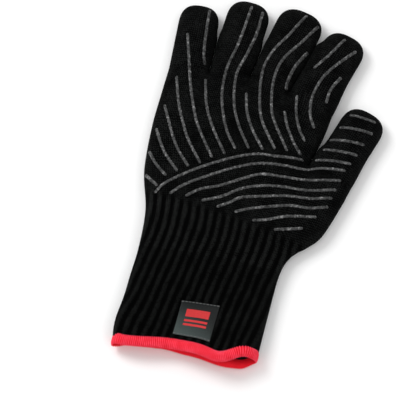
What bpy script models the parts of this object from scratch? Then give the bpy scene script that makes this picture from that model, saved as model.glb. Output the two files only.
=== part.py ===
"""Heat resistant glove for the right hand, lying palm up: +Y to the fingertips, +X to the thumb, +Z up."""

import bmesh
import bpy
import numpy as np

MM = 0.001

# Layers of the fabric and the gap between touching pieces, in millimetres
KNIT = 1.5
LINER = 1.0
GAP = 0.3
LAID_GAP = 0.45
LINER_START = 2.0
ABOVE = 60.0

# Section of the lying glove, in millimetres
FOLD_Z = 6.5
DIGIT_RISE = 9.0
PALM_RISE = 4.5
TOP_ROUND = 13.0
UNDER_ROUND = 9.0
PALM_ROUND = 45.0
WEB_DEPTH = 3.0
MOUTH_LIFT = 2.2
MOUTH_OPEN = 4.0
MOUTH_FLARE = 40.0

# Plan of the glove, in millimetres from the middle of the cuff's mouth
CENTRE = (24.3, 136.45)
WRIST_Y = 72.0
LEFT_EDGE = [(-52, -3), (-51, 44), (-49, 72), (-50, 102), (-57, 131), (-58.5, 165), (-57, 193), (-55.5, 213.5)]
RIGHT_EDGE = [(51.5, 5), (53, 40), (55, 72), (60.5, 87), (70.5, 96.5), (79.5, 107), (88, 130), (93, 147)]
INDEX_EDGE = [(58.5, 158.5), (63.5, 182), (66.5, 200.5)]
CROTCHES = [(-26, 216), (4.4, 218), (34.6, 212)]

# Each digit: the two ends of its root, its tip, and its flat width
DIGITS = {
    "little": ((-55.5, 213.5), (-26, 216), (-41.5, 266.5), 29.5),
    "ring": ((-26, 216), (4.4, 218), (-6.7, 276), 30.5),
    "middle": ((4.4, 218), (34.6, 212), (35, 276.5), 32.0),
    "index": ((34.6, 212), (66.5, 200.5), (70.2, 264), 31.0),
    "thumb": ((58.5, 158.5), (93, 147), (96, 207.5), 32.5),
}
TIP_LENGTH = 16.0
TIP_POWER = 2.3

# Overlocked hem and woven label, in millimetres
HEM_WIDTH = 9.0
HEM_WALL = 1.0
LABEL_SIZE = (27.0, 24.0)
LABEL_MIDDLE = (5.5, 26.0)
LABEL_LEAN = 5.0
LABEL_THICK = 0.6

# Silicone grip lines, in millimetres: points that each line passes through
GRIP_WIDTH = 2.4
GRIP_HEIGHT = 0.9
GRIP_STEP = 3.2
GRIP_MARGIN = 3.5
GRIP_LINES = [
    [(-55.4, 127.1), (-50.0, 122.6), (-44.2, 118.5)],
    [(-56.4, 145.2), (-49.1, 135.4), (-39.7, 127.2)],
    [(-54.3, 160.7), (-45.4, 146.2), (-32.4, 131.8)],
    [(-51.7, 180.1), (-42.4, 160.6), (-35.1, 148.3), (-25.1, 136.5)],
    [(-47.3, 205.3), (-42.6, 185.7), (-37.0, 171.9), (-30.1, 158.1), (-16.9, 140.0)],
    [(-46.3, 238.5), (-41.7, 219.3), (-35.1, 195.1), (-26.7, 172.6), (-18.4, 159.1), (-9.5, 146.0)],
    [(-27.1, 205.4), (-21.8, 186.0), (-14.3, 170.2), (-1.0, 150.4)],
    [(-34.6, 260.0), (-33.9, 245.8), (-32.3, 228.2), (-29.5, 217.2)],
    [(-4.7, 268.0), (-6.6, 252.9), (-9.2, 236.5), (-13.3, 217.7), (-12.1, 194.3), (-4.5, 171.4), (5.7, 156.1)],
    [(3.9, 265.0), (2.6, 249.5), (-1.2, 231.8), (-5.3, 215.2), (-2.9, 193.5), (3.7, 176.1), (15.1, 158.6)],
    [(4.9, 200.4), (8.0, 187.2), (14.7, 173.8), (25.3, 159.6)],
    [(35.7, 269.4), (26.9, 254.4), (17.1, 238.7), (12.9, 223.0), (14.7, 201.3), (20.3, 182.0), (33.8, 161.9)],
    [(45.1, 262.4), (36.7, 250.1), (26.8, 235.4), (22.7, 221.9), (23.0, 204.6), (27.8, 185.9), (42.6, 162.6)],
    [(40.8, 240.1), (35.1, 230.0), (31.8, 218.2), (31.6, 209.8)],
    [(34.6, 192.1), (38.9, 181.9), (45.9, 170.6), (53.0, 162.6)],
    [(41.0, 206.0), (43.2, 194.4), (47.5, 182.6), (53.8, 173.3)],
    [(67.1, 256.9), (58.8, 243.6), (49.0, 231.0)],
    [(76.1, 249.1), (64.4, 235.7), (56.2, 222.8), (52.3, 208.2), (53.4, 195.4), (58.4, 184.8)],
    [(69.4, 225.6), (64.5, 217.0), (63.0, 205.8)],
    [(81.4, 199.7), (101.2, 198.0)],
    [(76.4, 189.2), (100.1, 189.0)],
    [(71.6, 178.1), (96.2, 178.8)],
    [(68.0, 169.9), (92.8, 169.7)],
    [(64.4, 161.0), (89.0, 162.4)],
    [(-45.6, 112.8), (-37.2, 123.6), (-11.1, 140.6), (17.9, 154.7), (34.9, 157.8), (54.9, 158.4)],
    [(-34.6, 113.8), (-23.1, 123.9), (8.7, 142.1), (28.1, 149.7), (56.3, 151.5), (66.4, 154.3), (86.6, 156.7)],
    [(-22.8, 113.7), (-13.0, 120.9), (2.2, 127.0), (25.5, 140.3), (41.6, 142.5), (61.5, 143.6), (84.6, 148.8)],
    [(-10.7, 112.4), (3.9, 118.7), (16.4, 127.2), (29.5, 132.5), (45.5, 135.0), (64.1, 136.3), (82.7, 140.8)],
    [(1.0, 109.8), (9.5, 114.6), (19.1, 121.1), (46.9, 128.0), (65.4, 130.2), (81.1, 134.2)],
    [(14.3, 108.3), (27.8, 114.6), (51.8, 121.4), (66.8, 123.0), (79.7, 126.7)],
    [(28.0, 104.9), (39.2, 108.2), (52.3, 113.3), (73.3, 117.5)],
    [(44.6, 101.6), (65.3, 107.1)],
]


def smooth(value):
    part = np.clip(value, 0.0, 1.0)
    return part * part * (3.0 - 2.0 * part)


def rise(distance, span):
    """Quarter-round profile: 0 at the fold, 1 from the span inward."""
    return np.sqrt(1.0 - (1.0 - np.clip(distance / span, 0.0, 1.0)) ** 2)


def spline(points, count):
    """Smooth curve through the points, as count points at even steps along it."""
    knots = np.array(points, float)
    if len(knots) == 2:
        knots = np.array([knots[0], knots.mean(axis=0), knots[1]])
    ends = np.vstack([2 * knots[0] - knots[1], knots, 2 * knots[-1] - knots[-2]])
    curve = []
    for p0, p1, p2, p3 in zip(ends, ends[1:], ends[2:], ends[3:]):
        for t in np.linspace(0.0, 1.0, 24, endpoint=False):
            bend = (2 * p0 - 5 * p1 + 4 * p2 - p3) * t ** 2 + (3 * p1 - p0 - 3 * p2 + p3) * t ** 3
            curve.append(p1 + 0.5 * ((p2 - p0) * t + bend))
    curve = np.array(curve + [knots[-1]])
    walked = np.append(0.0, np.cumsum(np.linalg.norm(np.diff(curve, axis=0), axis=1)))
    steps = np.linspace(0.0, walked[-1], count)
    return np.stack([np.interp(steps, walked, curve[:, i]) for i in (0, 1)], axis=1)


def distance_to(points, line):
    """Distance in plan from each point to the nearest place on an open line."""
    start, step = line[:-1], np.diff(line, axis=0)
    offset = points[..., None, :] - start
    along = (offset * step).sum(-1) / (step * step).sum(-1)
    gap = offset - np.clip(along, 0.0, 1.0)[..., None] * step
    return np.linalg.norm(gap, axis=-1).min(axis=-1)


LEFT = spline(LEFT_EDGE, 90)
RIGHT = spline(RIGHT_EDGE, 90)
INDEX_SIDE = spline(INDEX_EDGE, 30)


def hand_heights(plan):
    """Heights of the upper and lower sheet over the hand and the cuff."""
    away = [distance_to(plan, line) for line in (LEFT, RIGHT, INDEX_SIDE)]
    away += [np.linalg.norm(plan - crotch, axis=-1) + WEB_DEPTH for crotch in CROTCHES]
    return heights(np.min(away, axis=0), plan[..., 1])


def heights(away, along):
    flare = smooth((MOUTH_FLARE - along) / MOUTH_FLARE)
    palm = PALM_RISE * smooth(away / PALM_ROUND) * smooth(along / 110.0)
    upper = FOLD_Z + (DIGIT_RISE + MOUTH_OPEN * flare) * rise(away, TOP_ROUND) + palm
    lower = FOLD_Z + (MOUTH_LIFT * flare - FOLD_Z) * rise(away, UNDER_ROUND)
    return upper, lower


def edge_x(edge, y):
    return np.stack([np.interp(y, edge[:, 1], edge[:, 0]), y], axis=-1)


def round_steps(count):
    """Steps from 0 to 1 that crowd toward both ends, as on a round section."""
    return 0.5 - 0.5 * np.cos(np.linspace(0.0, np.pi, count + 1))


def finger_roots(columns):
    """The knuckle line as points, with the same number of columns to each finger."""
    line = [np.array(DIGITS["little"][0], float)]
    for name in ("little", "ring", "middle", "index"):
        a, b = np.array(DIGITS[name][0], float), np.array(DIGITS[name][1], float)
        line += [a + (b - a) * t for t in round_steps(columns)[1:]]
    return np.array(line)


def palm_plan():
    """Grid of the hand in plan, blended from its four sides: wrist, knuckles, outer edge and thumb side."""
    knuckles = finger_roots(5) - (0.0, GAP / 2)
    across = np.append(0.0, np.cumsum(np.linalg.norm(np.diff(knuckles, axis=0), axis=1)))
    across = across / across[-1]
    outer_root, crotch = np.array(DIGITS["thumb"][1], float), np.array(DIGITS["thumb"][0], float)
    heel = edge_x(RIGHT, np.linspace(WRIST_Y + GAP / 2, outer_root[1] - 2 * GAP, 5))
    thumb = outer_root + (crotch - outer_root) * round_steps(4)[1:, None] - (0.0, GAP)
    index = edge_x(INDEX_SIDE, np.linspace(crotch[1], DIGITS["index"][1][1], 4))[1:] - (0.0, GAP / 2)
    right = np.vstack([heel, thumb, index])
    up = np.linspace(0.0, 1.0, len(right))
    left = edge_x(LEFT, WRIST_Y + GAP / 2 + (knuckles[0, 1] - WRIST_Y - GAP / 2) * up)
    wrist = left[0] + (right[0] - left[0]) * across[:, None]
    u, v = across[None, :, None], up[:, None, None]
    corners = (1 - u) * (1 - v) * left[0] + u * (1 - v) * right[0] + (1 - u) * v * left[-1] + u * v * right[-1]
    plan = (1 - v) * wrist + v * knuckles + (1 - u) * left[:, None] + u * right[:, None] - corners
    shut = np.zeros(plan.shape[:2], bool)
    shut[:, 0] = True
    shut[:5, -1] = True
    shut[8:, -1] = True
    return plan, shut


def cuff_plan(columns, from_mouth, to_wrist):
    """Grid of the cuff in plan between two shares of the way from its mouth to the wrist."""
    up = from_mouth + (to_wrist - from_mouth) * np.array([0.0, 0.12, 0.25, 0.4, 0.6, 1.0])
    top = WRIST_Y - GAP / 2
    left = edge_x(LEFT, LEFT[0, 1] + (top - LEFT[0, 1]) * up)
    right = edge_x(RIGHT, RIGHT[0, 1] + (top - RIGHT[0, 1]) * up)
    u = round_steps(columns)[None, :, None]
    plan = (1 - u) * left[:, None] + u * right[:, None]
    shut = np.zeros(plan.shape[:2], bool)
    shut[:, 0] = True
    shut[:, -1] = True
    return plan, shut


def digit_plan(name, start=GAP / 2):
    """Grid of one digit in plan from a distance past its root: straight sides, a blunt round tip."""
    a, b, tip = (np.array(point, float) for point in DIGITS[name][:3])
    width = DIGITS[name][3]
    root = (a + b) / 2
    length = np.linalg.norm(tip - root)
    way = (tip - root) / length
    steps = np.append([start, 0.22 * length, 0.45 * length], length - TIP_LENGTH * np.array([1, 0.55, 0.22, 0.06, 0]))
    turned = smooth(steps / (0.5 * length))[:, None]
    side = (1 - turned) * (b - a) / np.linalg.norm(b - a) + turned * np.array([way[1], -way[0]])
    half = (1 - turned[:, 0]) * (np.linalg.norm(b - a) / 2 - GAP) + turned[:, 0] * width / 2
    toward = np.clip((steps - length + TIP_LENGTH) / TIP_LENGTH, 0.0, 1.0)
    half = half * (1.0 - toward ** TIP_POWER) ** (1.0 / TIP_POWER)
    across = 2.0 * round_steps(6) - 1.0
    plan = root + way * steps[:, None, None] + side[:, None] * (half[:, None] * across)[..., None]
    shut = np.zeros(plan.shape[:2], bool)
    shut[:, 0] = True
    shut[:, -1] = True
    shut[-1] = True
    return plan, shut


def digit_outline(plan):
    return np.vstack([plan[:, 0], plan[-2::-1, -1]])


def digit_heights(plan):
    return heights(distance_to(plan, digit_outline(plan)), plan[..., 1])


def new_material(name, colour, roughness):
    material = bpy.data.materials.new(name)
    material.use_nodes = True
    shader = material.node_tree.nodes["Principled BSDF"]
    shader.inputs["Base Color"].default_value = (*colour, 1.0)
    shader.inputs["Roughness"].default_value = roughness
    return material


def new_object(name, vertices, faces, material):
    mesh = bpy.data.meshes.new(name)
    shifted = (np.array(vertices, float) - (*CENTRE, 0.0)) * MM
    mesh.from_pydata([tuple(v) for v in shifted], [], faces)
    mesh.materials.append(material)
    made = bpy.data.objects.new(name, mesh)
    GLOVE.objects.link(made)
    return made


def add_layer(made, thickness, offset):
    layer = made.modifiers.new("Layer", "SOLIDIFY")
    layer.thickness = thickness * MM
    layer.offset = offset
    layer.use_even_offset = True
    layer.use_quality_normals = True


def sleeve(name, grid, sheets, material, thickness, inset):
    """A pair of sheets over a plan grid, joined along the folds, as a fabric layer under its outer face."""
    plan, shut = grid
    rows, columns = plan.shape[:2]
    upper, lower = (np.where(shut, FOLD_Z, sheet) for sheet in sheets)
    vertices = [(*plan[i, j], upper[i, j]) for i in range(rows) for j in range(columns)]
    vertices += [(*plan[i, j], lower[i, j]) for i in range(rows) for j in range(columns)]
    faces = []
    for i in range(rows - 1):
        for j in range(columns - 1):
            k = i * columns + j
            quad = (k, k + 1, k + columns + 1, k + columns)
            faces.append(quad)
            faces.append(tuple(rows * columns + corner for corner in reversed(quad)))
    made = new_object(name, vertices, faces, material)
    shape = bmesh.new()
    shape.from_mesh(made.data)
    bmesh.ops.remove_doubles(shape, verts=shape.verts, dist=0.02 * MM)
    shape.to_mesh(made.data)
    shape.free()
    add_layer(made, thickness, -1.0 - 2.0 * inset / thickness)
    return made


def hem():
    """Channel around the cuff's mouth, seated over the edges of the knit and the liner."""
    plan = cuff_plan(20, 0.0, (HEM_WIDTH - GAP) / WRIST_Y)[0][[0, -1]]
    shut = np.zeros(plan.shape[:2], bool)
    shut[:, [0, -1]] = True
    upper, lower = (np.where(shut, FOLD_Z, sheet) for sheet in hand_heights(plan))
    loop = np.concatenate([plan, plan[:, -2:0:-1]], axis=1)
    ring = np.concatenate([loop, np.concatenate([upper, lower[:, -2:0:-1]], axis=1)[..., None]], axis=2)
    ahead, behind = (np.roll(ring, shift, axis=1) for shift in (-1, 1))
    out = np.stack([behind[..., 2] - ahead[..., 2], 0.0 * ring[..., 1], ahead[..., 0] - behind[..., 0]], axis=2)
    out = out / np.linalg.norm(out, axis=2, keepdims=True)
    under = -KNIT - GAP - LINER
    section = [(1, 0.0, GAP), (1, 0.0, GAP + HEM_WALL), (0, -GAP - HEM_WALL, GAP + HEM_WALL)]
    section += [(0, -GAP - HEM_WALL, under - GAP - HEM_WALL), (1, 0.0, under - GAP - HEM_WALL)]
    section += [(1, 0.0, under - GAP), (0, -GAP, under - GAP), (0, -GAP, GAP)]
    count = ring.shape[1]
    vertices = []
    for row, shift, offset in section:
        vertices += [tuple(point) for point in ring[row] + out[row] * offset + (0.0, shift, 0.0)]
    faces = []
    for i in range(len(section)):
        for j in range(count):
            a, b = i * count, (i + 1) % len(section) * count
            faces.append((a + j, a + (j + 1) % count, b + (j + 1) % count, b + j))
    new_object("hem", vertices, [face[::-1] for face in faces], RED)


def lay_on(made, target, thickness):
    """Lay a flat piece on the knit from above, then thicken it outward."""
    laid = made.modifiers.new("Laid", "SHRINKWRAP")
    laid.target = target
    laid.wrap_method = "PROJECT"
    laid.wrap_mode = "ABOVE_SURFACE"
    laid.use_project_z = True
    laid.use_negative_direction = True
    laid.use_positive_direction = False
    laid.offset = LAID_GAP * MM
    add_layer(made, thickness, 1.0)


def label(target):
    """Thin woven label lying on the cuff above the hem."""
    lean = np.radians(LABEL_LEAN)
    right, up = np.array([np.cos(lean), -np.sin(lean)]), np.array([np.sin(lean), np.cos(lean)])
    steps = np.linspace(-0.5, 0.5, 7)
    wide, high = right * LABEL_SIZE[0], up * LABEL_SIZE[1]
    vertices = [(*(LABEL_MIDDLE + wide * a + high * b), ABOVE) for b in steps for a in steps]
    corners = [i * 7 + j for i in range(6) for j in range(6)]
    faces = [(k, k + 1, k + 8, k + 7) for k in corners]
    lay_on(new_object("label", vertices, faces, CHARCOAL), target, LABEL_THICK)


def runs_of(points):
    """Split a grip line where it crosses the root of a digit, and name the piece that carries each run."""
    owner = np.array(["hand"] * len(points), dtype=object)
    clear = np.ones(len(points), bool)
    for line in (LEFT, RIGHT, INDEX_SIDE):
        clear &= distance_to(points, line) > GRIP_MARGIN
    for name in DIGITS:
        a, b = (np.array(point, float) for point in DIGITS[name][:2])
        side = (b - a) / np.linalg.norm(b - a)
        beyond = (points - a) @ np.array([-side[1], side[0]])
        within = ((points - a) @ side > -3.0) & ((points - b) @ side < 8.0)
        owner[within & (beyond > 0)] = name
        clear &= ~within | (np.abs(beyond) > 1.8)
        clear &= (owner != name) | (distance_to(points, digit_outline(digit_plan(name)[0])) > GRIP_MARGIN)
    runs = []
    for i in np.flatnonzero(clear):
        if runs and runs[-1][0] == owner[i] and runs[-1][1][-1] == i - 1:
            runs[-1][1].append(i)
        else:
            runs.append((owner[i], [i]))
    return [(name, points[which]) for name, which in runs if len(which) > 12]


def grip_line(name, route, target):
    """One raised silicone line: a ribbon laid on the knit from above, thickened outward."""
    count = max(3, int(np.ceil(np.linalg.norm(np.diff(route, axis=0), axis=1).sum() / GRIP_STEP)) + 1)
    middle = route[np.linspace(0, len(route) - 1, count).round().astype(int)]
    way = np.gradient(middle, axis=0)
    way = way / np.linalg.norm(way, axis=1, keepdims=True)
    side = np.stack([-way[:, 1], way[:, 0]], axis=1) * GRIP_WIDTH / 2
    vertices = [(*point, ABOVE) for point in np.concatenate([middle + side, middle - side])]
    faces = [(i, count + i, count + i + 1, i + 1) for i in range(count - 1)]
    lay_on(new_object(name, vertices, faces, GREY), target, GRIP_HEIGHT)


for old in list(bpy.data.objects):
    bpy.data.objects.remove(old, do_unlink=True)

GLOVE = bpy.data.collections.new("heat_resistant_glove")
bpy.context.scene.collection.children.link(GLOVE)
BLACK = new_material("black_knit", (0.012, 0.012, 0.014), 0.9)
RIBBED = new_material("black_ribbed_knit", (0.012, 0.012, 0.014), 0.9)
COTTON = new_material("cotton_liner", (0.03, 0.03, 0.032), 0.95)
GREY = new_material("grey_silicone", (0.16, 0.16, 0.165), 0.6)
RED = new_material("red_overlock", (0.6, 0.07, 0.06), 0.8)
CHARCOAL = new_material("charcoal_label", (0.05, 0.06, 0.06), 0.6)

shells = {}
palm = palm_plan()
shells["hand"] = sleeve("hand_knit", palm, hand_heights(palm[0]), BLACK, KNIT, 0.0)
sleeve("hand_liner", palm, hand_heights(palm[0]), COTTON, LINER, KNIT + GAP)
cuff = cuff_plan(20, 0.0, 1.0)
cuff_shell = sleeve("cuff_knit", cuff, hand_heights(cuff[0]), RIBBED, KNIT, 0.0)
sleeve("cuff_liner", cuff, hand_heights(cuff[0]), COTTON, LINER, KNIT + GAP)
for digit in DIGITS:
    stall = digit_plan(digit)
    shells[digit] = sleeve(digit + "_knit", stall, digit_heights(stall[0]), BLACK, KNIT, 0.0)
    lining = digit_plan(digit, LINER_START)
    sleeve(digit + "_liner", lining, digit_heights(lining[0]), COTTON, LINER, KNIT + GAP)
hem()
label(cuff_shell)
made_on = dict.fromkeys(shells, 0)
for line in GRIP_LINES:
    for carrier, run in runs_of(spline(line, 240)):
        made_on[carrier] += 1
        grip_line(f"{carrier}_grip_{made_on[carrier]}", run, shells[carrier])
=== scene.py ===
# %% [markdown]
# # A knitted heat resistant glove
# The glove lies on its back with the palm up. Its outer knit, liner, hem, label and silicone grip lines
# are soft, so each one is made here as a fine mesh in the place that its solid holds in the frame.

# %% Load the frame
import math
import bmesh
import bpy
import numpy as np
from mathutils import Matrix, Vector


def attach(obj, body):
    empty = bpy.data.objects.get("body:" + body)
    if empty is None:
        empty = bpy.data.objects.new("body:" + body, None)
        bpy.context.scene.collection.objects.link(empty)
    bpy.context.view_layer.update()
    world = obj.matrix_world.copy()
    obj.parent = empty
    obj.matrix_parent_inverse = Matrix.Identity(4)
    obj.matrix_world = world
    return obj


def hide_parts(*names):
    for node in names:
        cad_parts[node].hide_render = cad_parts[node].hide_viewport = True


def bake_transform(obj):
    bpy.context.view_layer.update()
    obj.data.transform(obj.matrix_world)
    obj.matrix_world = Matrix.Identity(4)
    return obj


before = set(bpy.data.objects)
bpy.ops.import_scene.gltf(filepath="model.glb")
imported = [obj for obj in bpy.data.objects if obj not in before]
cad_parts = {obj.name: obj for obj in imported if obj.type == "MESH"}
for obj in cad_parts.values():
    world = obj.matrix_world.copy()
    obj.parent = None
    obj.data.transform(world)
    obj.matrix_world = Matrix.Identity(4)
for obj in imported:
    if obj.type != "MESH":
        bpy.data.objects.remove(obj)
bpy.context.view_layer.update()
MM = 0.001

# %% [markdown]
# ## The plan of the glove
# A knitted glove is a flat bag, so its shape starts from an outline. A few points, close to those of the
# solids, give the side edges, the roots of the digits and their tips, in millimetres from the middle of
# the cuff's mouth. Each digit has the two ends of its root, its tip and its width. The fingers are a
# little fuller than the solids, and touch each other for the lengths in TOUCH before they part.

# %% Outline
CENTRE = (24.3, 136.45)
WRIST_Y = 72.0
LEFT_EDGE = [
    (-52, -3), (-51, 44), (-49, 72), (-50, 102), (-57, 131), (-58.5, 165), (-57, 193), (-55.5, 213.5),
]
RIGHT_EDGE = [
    (51.5, 5), (53, 40), (55, 72), (60.5, 87), (70.5, 96.5), (79.5, 107), (88, 130), (93, 147),
]
INDEX_EDGE = [(59.5, 158.8), (66, 181.5), (69, 199.6)]
DIGITS = {
    "little": ((-55.5, 213.5), (-26, 216), (-41.5, 266.5), 29.5),
    "ring": ((-26, 216), (4.4, 218), (-5.4, 276.3), 31.5),
    "middle": ((4.4, 218), (34.6, 212), (35, 276.5), 34.5),
    "index": ((34.6, 212), (69, 199.6), (70.6, 264), 32.0),
    "thumb": ((59.5, 158.8), (93, 147), (96, 207.5), 32.5),
}
FINGERS = ("little", "ring", "middle", "index")
TOUCH, THUMB_TOUCH, PART_LENGTH, TOUCH_GAP = (26.0, 25.0, 41.0), 12.0, 9.0, 0.12
TIP_LENGTH, TIP_POWER, TURN_SHARE = 16.0, 2.6, 0.5
SPLINE_STEPS, EDGE_POINTS, SIDE_POINTS = 24, 160, 40


def smooth(value):
    part = np.clip(value, 0.0, 1.0)
    return part * part * (3.0 - 2.0 * part)


def unit(vectors):
    return vectors / np.linalg.norm(vectors, axis=-1, keepdims=True)


def walk(points):
    """Length along a line of points, from its first point to each of them."""
    return np.append(0.0, np.cumsum(np.linalg.norm(np.diff(points, axis=0), axis=1)))


def spline(points, count):
    """Smooth curve through the points, as count points at even steps along it."""
    knots = np.array(points, float)
    if len(knots) == 2:
        knots = np.array([knots[0], knots.mean(axis=0), knots[1]])
    ends = np.vstack([2 * knots[0] - knots[1], knots, 2 * knots[-1] - knots[-2]])
    curve = []
    for p0, p1, p2, p3 in zip(ends, ends[1:], ends[2:], ends[3:]):
        for t in np.linspace(0.0, 1.0, SPLINE_STEPS, endpoint=False):
            bend = (2 * p0 - 5 * p1 + 4 * p2 - p3) * t ** 2 + (3 * p1 - p0 - 3 * p2 + p3) * t ** 3
            curve.append(p1 + 0.5 * ((p2 - p0) * t + bend))
    curve = np.array(curve + [knots[-1]])
    walked = walk(curve)
    steps = np.linspace(0.0, walked[-1], count)
    return np.stack([np.interp(steps, walked, curve[:, i]) for i in (0, 1)], axis=1)


LEFT, RIGHT = spline(LEFT_EDGE, EDGE_POINTS), spline(RIGHT_EDGE, EDGE_POINTS)
INDEX_SIDE = spline(INDEX_EDGE, SIDE_POINTS)
print("outline", len(LEFT_EDGE) + len(RIGHT_EDGE) + len(INDEX_EDGE), "points,", len(DIGITS), "digits")

# %% [markdown]
# ## Grids
# Each tube of knit becomes a grid in plan: columns run along the wales, rows along the courses. A digit
# is straight with a blunt round tip, and spreads in its lower part until it meets its neighbours. The
# hand is blended from its four sides, so that its columns end on those of the fingers.

# %% Grids in plan
DIGIT_COLUMNS, THUMB_COLUMNS, DIGIT_ROWS, TIP_ROWS = 44, 36, 40, 24
HEEL_ROWS, SIDE_ROWS, CUFF_COLUMNS, CUFF_ROWS = 56, 34, 176, 56
DIGIT_CROWD, CUFF_CROWD = 0.65, 0.15
LEAN_POINT = 10


def round_steps(count, crowd=DIGIT_CROWD):
    """Steps from 0 to 1 that crowd toward both ends, as on a round section."""
    even = np.linspace(0.0, 1.0, count + 1)
    return (1.0 - crowd) * even + crowd * (0.5 - 0.5 * np.cos(math.pi * even))


def edge_at(edge, y):
    return np.stack([np.interp(y, edge[:, 1], edge[:, 0]), y], axis=-1)


def way_of(name):
    """Direction of a digit in plan."""
    a, b, tip = (np.array(point, float) for point in DIGITS[name][:3])
    return unit(tip - (a + b) / 2)


def leaning(name, slot):
    """Direction of the line that one side of a digit leans on, and how far up it does."""
    if name == "thumb":
        return (INDEX_SIDE[LEAN_POINT] - INDEX_SIDE[0], THUMB_TOUCH) if slot == 0 else (None, 0.0)
    number = FINGERS.index(name) - 1 + slot
    if not 0 <= number < len(TOUCH):
        return None, 0.0
    return way_of(FINGERS[number]) + way_of(FINGERS[number + 1]), TOUCH[number]


def fill_gap(name, slot, edge, side, steps):
    """Extra width that brings one side of a digit to its neighbour, up to where they part."""
    line, touch = leaning(name, slot)
    if line is None:
        return 0.0
    across = np.array([line[1], -line[0]])
    room = (DIGITS[name][slot] - edge) @ across / (side @ across) * (2 * slot - 1) - TOUCH_GAP
    return np.maximum(room, 0.0) * (1.0 - smooth((steps - touch) / PART_LENGTH))


def digit_grid(name, inset=0.0):
    """Rows from the root to the tip of one digit."""
    a, b, tip = (np.array(point, float) for point in DIGITS[name][:3])
    root, way, width = (a + b) / 2, way_of(name), np.linalg.norm(b - a)
    length = np.linalg.norm(tip - root) - inset
    end = TIP_LENGTH - inset / 2
    run = np.linspace(0.0, length - end, DIGIT_ROWS)
    steps = np.append(run, length - end + end * np.sin(np.linspace(0, math.pi / 2, TIP_ROWS + 1))[1:])
    turned = smooth(steps / (TURN_SHARE * length))[:, None]
    side = (1 - turned) * (b - a) / width + turned * np.array([way[1], -way[0]])
    half = (1 - turned[:, 0]) * width / 2 + turned[:, 0] * DIGITS[name][3] / 2 - inset
    toward = np.clip((steps - length + end) / end, 0.0, 1.0)
    half = half * (1.0 - toward ** TIP_POWER) ** (1.0 / TIP_POWER)
    reach = []
    for slot, sign in enumerate((-1, 1)):
        edge = root + way * steps[:, None] + sign * side * (half + inset)[:, None]
        reach.append(half + fill_gap(name, slot, edge, side, steps))
    across = 2.0 * round_steps(THUMB_COLUMNS if name == "thumb" else DIGIT_COLUMNS) - 1.0
    across = np.where(across < 0, reach[0][:, None], reach[1][:, None]) * across
    return root + way * steps[:, None, None] + side[:, None] * across[..., None]


def hand_grid():
    """Rows from the wrist to the knuckles, columns from the outer edge to the thumb side."""
    knuckles = [np.array(DIGITS["little"][0], float)]
    for name in FINGERS:
        a, b = np.array(DIGITS[name][0], float), np.array(DIGITS[name][1], float)
        knuckles += [a + (b - a) * t for t in round_steps(DIGIT_COLUMNS)[1:]]
    knuckles = np.array(knuckles)
    across = np.linspace(0.0, 1.0, len(knuckles))
    outer, crotch = np.array(DIGITS["thumb"][1], float), np.array(DIGITS["thumb"][0], float)
    heel = edge_at(RIGHT, np.linspace(WRIST_Y, outer[1], HEEL_ROWS + 1))
    thumb = outer + (crotch - outer) * round_steps(THUMB_COLUMNS)[1:, None]
    index = edge_at(INDEX_SIDE, np.linspace(crotch[1], DIGITS["index"][1][1], SIDE_ROWS + 1))[1:]
    right = np.vstack([heel, thumb, index])
    up = np.linspace(0.0, 1.0, len(right))
    left = edge_at(LEFT, WRIST_Y + (knuckles[0, 1] - WRIST_Y) * up)
    wrist = left[0] + (right[0] - left[0]) * across[:, None]
    u, v = across[None, :, None], up[:, None, None]
    low, high = (1 - u) * left[0] + u * right[0], (1 - u) * left[-1] + u * right[-1]
    corners = (1 - v) * low + v * high
    return (1 - v) * wrist + v * knuckles + (1 - u) * left[:, None] + u * right[:, None] - corners


def cuff_grid():
    """Rows from the mouth to the wrist."""
    up = np.linspace(0.0, 1.0, CUFF_ROWS + 1)
    left = edge_at(LEFT, LEFT[0, 1] + (WRIST_Y - LEFT[0, 1]) * up)
    right = edge_at(RIGHT, RIGHT[0, 1] + (WRIST_Y - RIGHT[0, 1]) * up)
    u = round_steps(CUFF_COLUMNS, CUFF_CROWD)[None, :, None]
    return (1 - u) * left[:, None] + u * right[:, None]


GRIDS = {name: digit_grid(name) for name in DIGITS}
OUTLINES = {name: np.vstack([grid[:, 0], grid[-2::-1, -1]]) for name, grid in GRIDS.items()}
print("grids", {name: grid.shape[:2] for name, grid in GRIDS.items()}, hand_grid().shape[:2])

# %% [markdown]
# ## How far the fabric stands up
# An empty glove is a little puffed. Its two sheets meet in a fold at the outline and part quickly from
# there, so the height at any place follows from the distance to the nearest fold. The lower sheet lies
# flat on the table and lifts a little at the mouth. Slow waves keep the upper sheet from looking moulded.

# %% Heights
FOLD_Z, DIGIT_RISE, PALM_RISE = 6.5, 9.0, 4.5
TOP_ROUND, UNDER_ROUND, PALM_ROUND = 13.0, 9.0, 45.0
MOUTH_LIFT, MOUTH_OPEN, MOUTH_FLARE = 2.9, 4.0, 40.0
PALM_FADE, FAR = 110.0, 1e9
WAVE, WAVE_EDGE = 0.45, 8.0
# Each wave has its share, its lengths across and along the glove, and its phase.
WAVES = ((1.0, 9.0, 17.0, 0.0), (1.0, 15.0, -11.0, 1.0), (0.6, 5.5, 31.0, 2.0))


def distance_to(points, line):
    """Distance in plan from each point to the nearest place on an open line."""
    start, step = line[:-1], np.diff(line, axis=0)
    flat = points.reshape(-1, 2)
    near = np.full(len(flat), FAR)
    for origin, leg in zip(start, step):
        span = leg @ leg
        if span > 1e-9:
            offset = flat - origin
            along = np.clip(offset @ leg / span, 0.0, 1.0)
            near = np.minimum(near, ((offset - along[:, None] * leg) ** 2).sum(axis=1))
    return np.sqrt(near).reshape(points.shape[:-1])


def rise(distance, span):
    return np.sqrt(1.0 - (1.0 - np.clip(distance / span, 0.0, 1.0)) ** 2)


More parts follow.
